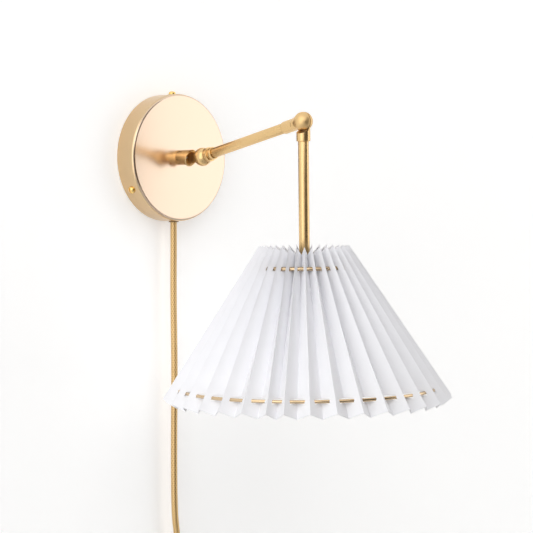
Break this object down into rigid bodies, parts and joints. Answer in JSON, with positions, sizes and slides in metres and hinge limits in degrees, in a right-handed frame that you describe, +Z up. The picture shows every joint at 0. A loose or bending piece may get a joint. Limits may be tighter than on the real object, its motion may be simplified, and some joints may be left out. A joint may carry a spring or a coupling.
{
  "type": "wall sconce",
  "caption": "Plug-in wall sconce with a round brass wall cup, a jointed brass arm, a conical pleated shade on wire rings and a hanging textile cord with in-line switch and plug.",
  "frame": {"origin": "centre of the face of the wall bracket that lies on the wall", "axes": "+Z up, +Y into the wall, +X to the right of someone who faces the wall; the lamp stands out along -Y"},
  "size_m": [0.2514, 0.3057, 0.6806],
  "materials": {
    "satin_brass": "brushed satin",
    "polished_brass": "polished",
    "ring_brass": "drawn wire",
    "plain_brass": "turned",
    "zinc_steel": "zinc plated",
    "washer_fibre": "matt",
    "shade_paper": "matt pleated",
    "gold_textile": "braided",
    "lead_plastic": "matt",
    "white_plastic": "matt",
    "ceramic": "glazed",
    "ivory_plastic": "satin",
    "dark_rubber": "matt"
  },
  "bodies": {
    "wall_base": {"wall_bracket": "zinc_steel", "wall_cup": "satin_brass", "cup_screws": "polished_brass", "stub": "polished_brass", "nipple": "plain_brass", "lock_washer": "zinc_steel", "nipple_nut": "zinc_steel", "terminal_block": "white_plastic", "terminal_screws": "zinc_steel", "clamp_base": "white_plastic", "clamp_bar": "white_plastic", "clamp_screws": "zinc_steel", "cord_bush": "dark_rubber", "lamp_leads": "lead_plastic", "cord_run": "gold_textile", "switch_front": "ivory_plastic", "switch_back": "ivory_plastic", "switch_screws": "zinc_steel", "switch_contacts": "plain_brass", "cord_slack": "gold_textile", "cord_coil": "gold_textile", "cord_tie": "dark_rubber", "plug_sleeve": "ivory_plastic", "plug_body": "ivory_plastic", "plug_pins": "plain_brass"},
    "rocker": {"switch_rocker": "ivory_plastic", "rocker_pin": "zinc_steel"},
    "arm": {"arm_wall_knuckle": "polished_brass", "arm_tube": "polished_brass", "arm_elbow_knuckle": "polished_brass", "wall_pivot_screw": "polished_brass", "elbow_pivot_screw": "polished_brass", "wall_friction_washer": "washer_fibre", "elbow_friction_washer": "washer_fibre", "arm_flex": "lead_plastic"},
    "stem": {"stem_knuckle": "polished_brass", "stem_tube": "polished_brass", "stem_flex": "lead_plastic", "lampholder_cap": "zinc_steel", "stem_nut": "zinc_steel", "lampholder_body": "white_plastic", "shade_nut": "white_plastic", "lampholder_insert": "ceramic", "thread_shell": "plain_brass", "centre_contact": "plain_brass", "upper_ring": "ring_brass", "lower_ring": "ring_brass", "pleated_shade": "shade_paper"}
  },
  "joints": [
    {"name": "wall_knuckle", "type": "hinge", "parent": "wall_base", "child": "arm", "pos_m": [0, -0.052, 0], "axis": [-1, 0, 0], "range_deg": [-5, 75]},
    {"name": "elbow_knuckle", "type": "hinge", "parent": "arm", "child": "stem", "pos_m": [0, -0.17994, 0.02813], "axis": [-1, 0, 0], "range_deg": [-3, 100]},
    {"name": "switch_rocker", "type": "hinge", "parent": "wall_base", "child": "rocker", "pos_m": [0, -0.01775, -0.396], "axis": [-1, 0, 0], "range_deg": [0, 16]}
  ]
}
